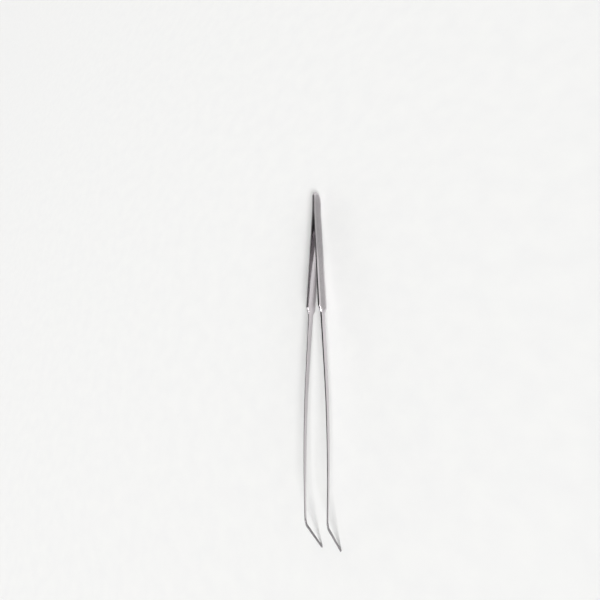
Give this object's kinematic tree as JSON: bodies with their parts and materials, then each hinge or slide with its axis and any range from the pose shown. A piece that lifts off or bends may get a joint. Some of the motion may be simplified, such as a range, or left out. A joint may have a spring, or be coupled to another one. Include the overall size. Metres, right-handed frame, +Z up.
{
  "type": "aquascaping tweezers",
  "caption": "Long sprung steel tweezers with a wide flat grip, slim bowed arms and tips bent to one side, for planting in an aquarium.",
  "frame": {"origin": "the point on the table midway along the tool and midway between its arms, under the tool as it lies on its tail and its two tips", "axes": "+Y along the tool to the tail end, +X to the right arm across the opening, +Z up, away from the side that the tips bend to"},
  "size_m": [0.0216, 0.3011, 0.0226],
  "materials": {
    "strip_steel": "stainless steel, brushed satin on the grips and tips, polished on the inner faces and the slim arms",
    "weld_steel": "weld metal ground flush and polished"
  },
  "bodies": {
    "tail": {"left_tail_leaf": "strip_steel", "right_tail_leaf": "strip_steel", "end_weld": "weld_steel", "spot_welds": "weld_steel"},
    "left_arm": {"left_arm": "strip_steel"},
    "right_arm": {"right_arm": "strip_steel"}
  },
  "joints": [
    {"name": "left_arm_flex", "type": "hinge", "parent": "tail", "child": "left_arm", "pos_m": [-0.00134, 0.11859, 0.00797], "axis": [0, 0.0557, 0.9985], "range_deg": [0, 1.61], "stiffness_Nm_per_rad": 9},
    {"name": "right_arm_flex", "type": "hinge", "parent": "tail", "child": "right_arm", "pos_m": [0.00134, 0.11859, 0.00797], "axis": [0, -0.0557, -0.9985], "range_deg": [0, 1.61], "stiffness_Nm_per_rad": 9}
  ],
  "couplings": [
    {"joint": "right_arm_flex", "follows": "left_arm_flex", "ratio": 1}
  ]
}
